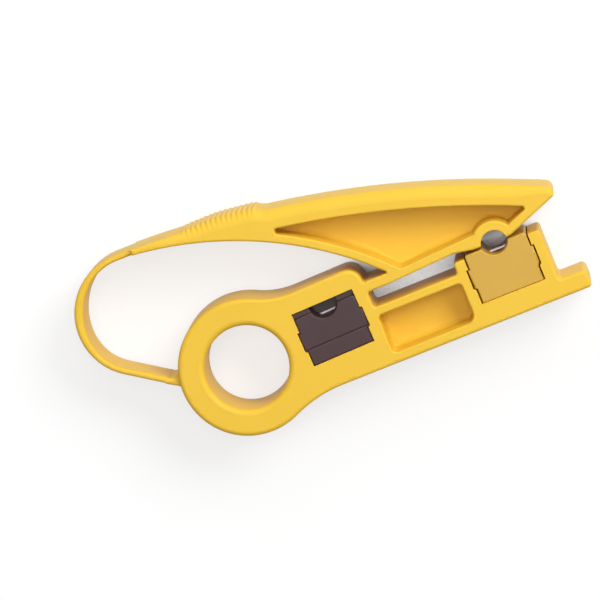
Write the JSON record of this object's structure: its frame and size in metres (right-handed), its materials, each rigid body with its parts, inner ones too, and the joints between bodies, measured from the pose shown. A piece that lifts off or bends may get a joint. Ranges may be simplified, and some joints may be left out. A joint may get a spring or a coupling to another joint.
{
  "type": "cable stripper",
  "caption": "One-piece plastic cable stripper with a finger ring, a sprung jaw arm and slide-in blade cassettes, lying on its side.",
  "frame": {"origin": "axis of the finger ring, halfway through the tool's thickness", "axes": "+X along the body towards the tongue, +Y towards the jaw arm, +Z out of the broad face that shows"},
  "size_m": [0.1208, 0.0541, 0.019],
  "materials": {
    "moulding": "satin yellow acetal or nylon moulding",
    "blade_cassette": "satin greenish-yellow plastic",
    "spare_cassette": "satin dark brown plastic",
    "blade_steel": "ground blade steel"
  },
  "bodies": {
    "frame": {"frame": "moulding", "hinge_web": "moulding", "spring_loop": "moulding"},
    "jaw_arm": {"jaw_arm": "moulding"},
    "blade_cassette": {"blade_cassette_block": "blade_cassette", "blade_cassette_base": "blade_cassette", "blade_cassette_blade": "blade_steel"},
    "spare_cassette": {"spare_cassette_block": "spare_cassette", "spare_cassette_base": "spare_cassette", "spare_cassette_blade": "blade_steel"}
  },
  "joints": [
    {"name": "jaw", "type": "hinge", "parent": "frame", "child": "jaw_arm", "pos_m": [0.037, 0.00747, 0], "axis": [0, 0, 1], "range_deg": [0, 10], "stiffness_Nm_per_rad": 2, "springref_deg": -2.86, "deforming": ["hinge_web", "spring_loop"]},
    {"name": "blade_cassette_slide", "type": "slide", "parent": "frame", "child": "blade_cassette", "axis": [0, 0, 1], "range_m": [0, 0.0195]},
    {"name": "spare_cassette_slide", "type": "slide", "parent": "frame", "child": "spare_cassette", "axis": [0, 0, 1], "range_m": [0, 0.0195]}
  ]
}
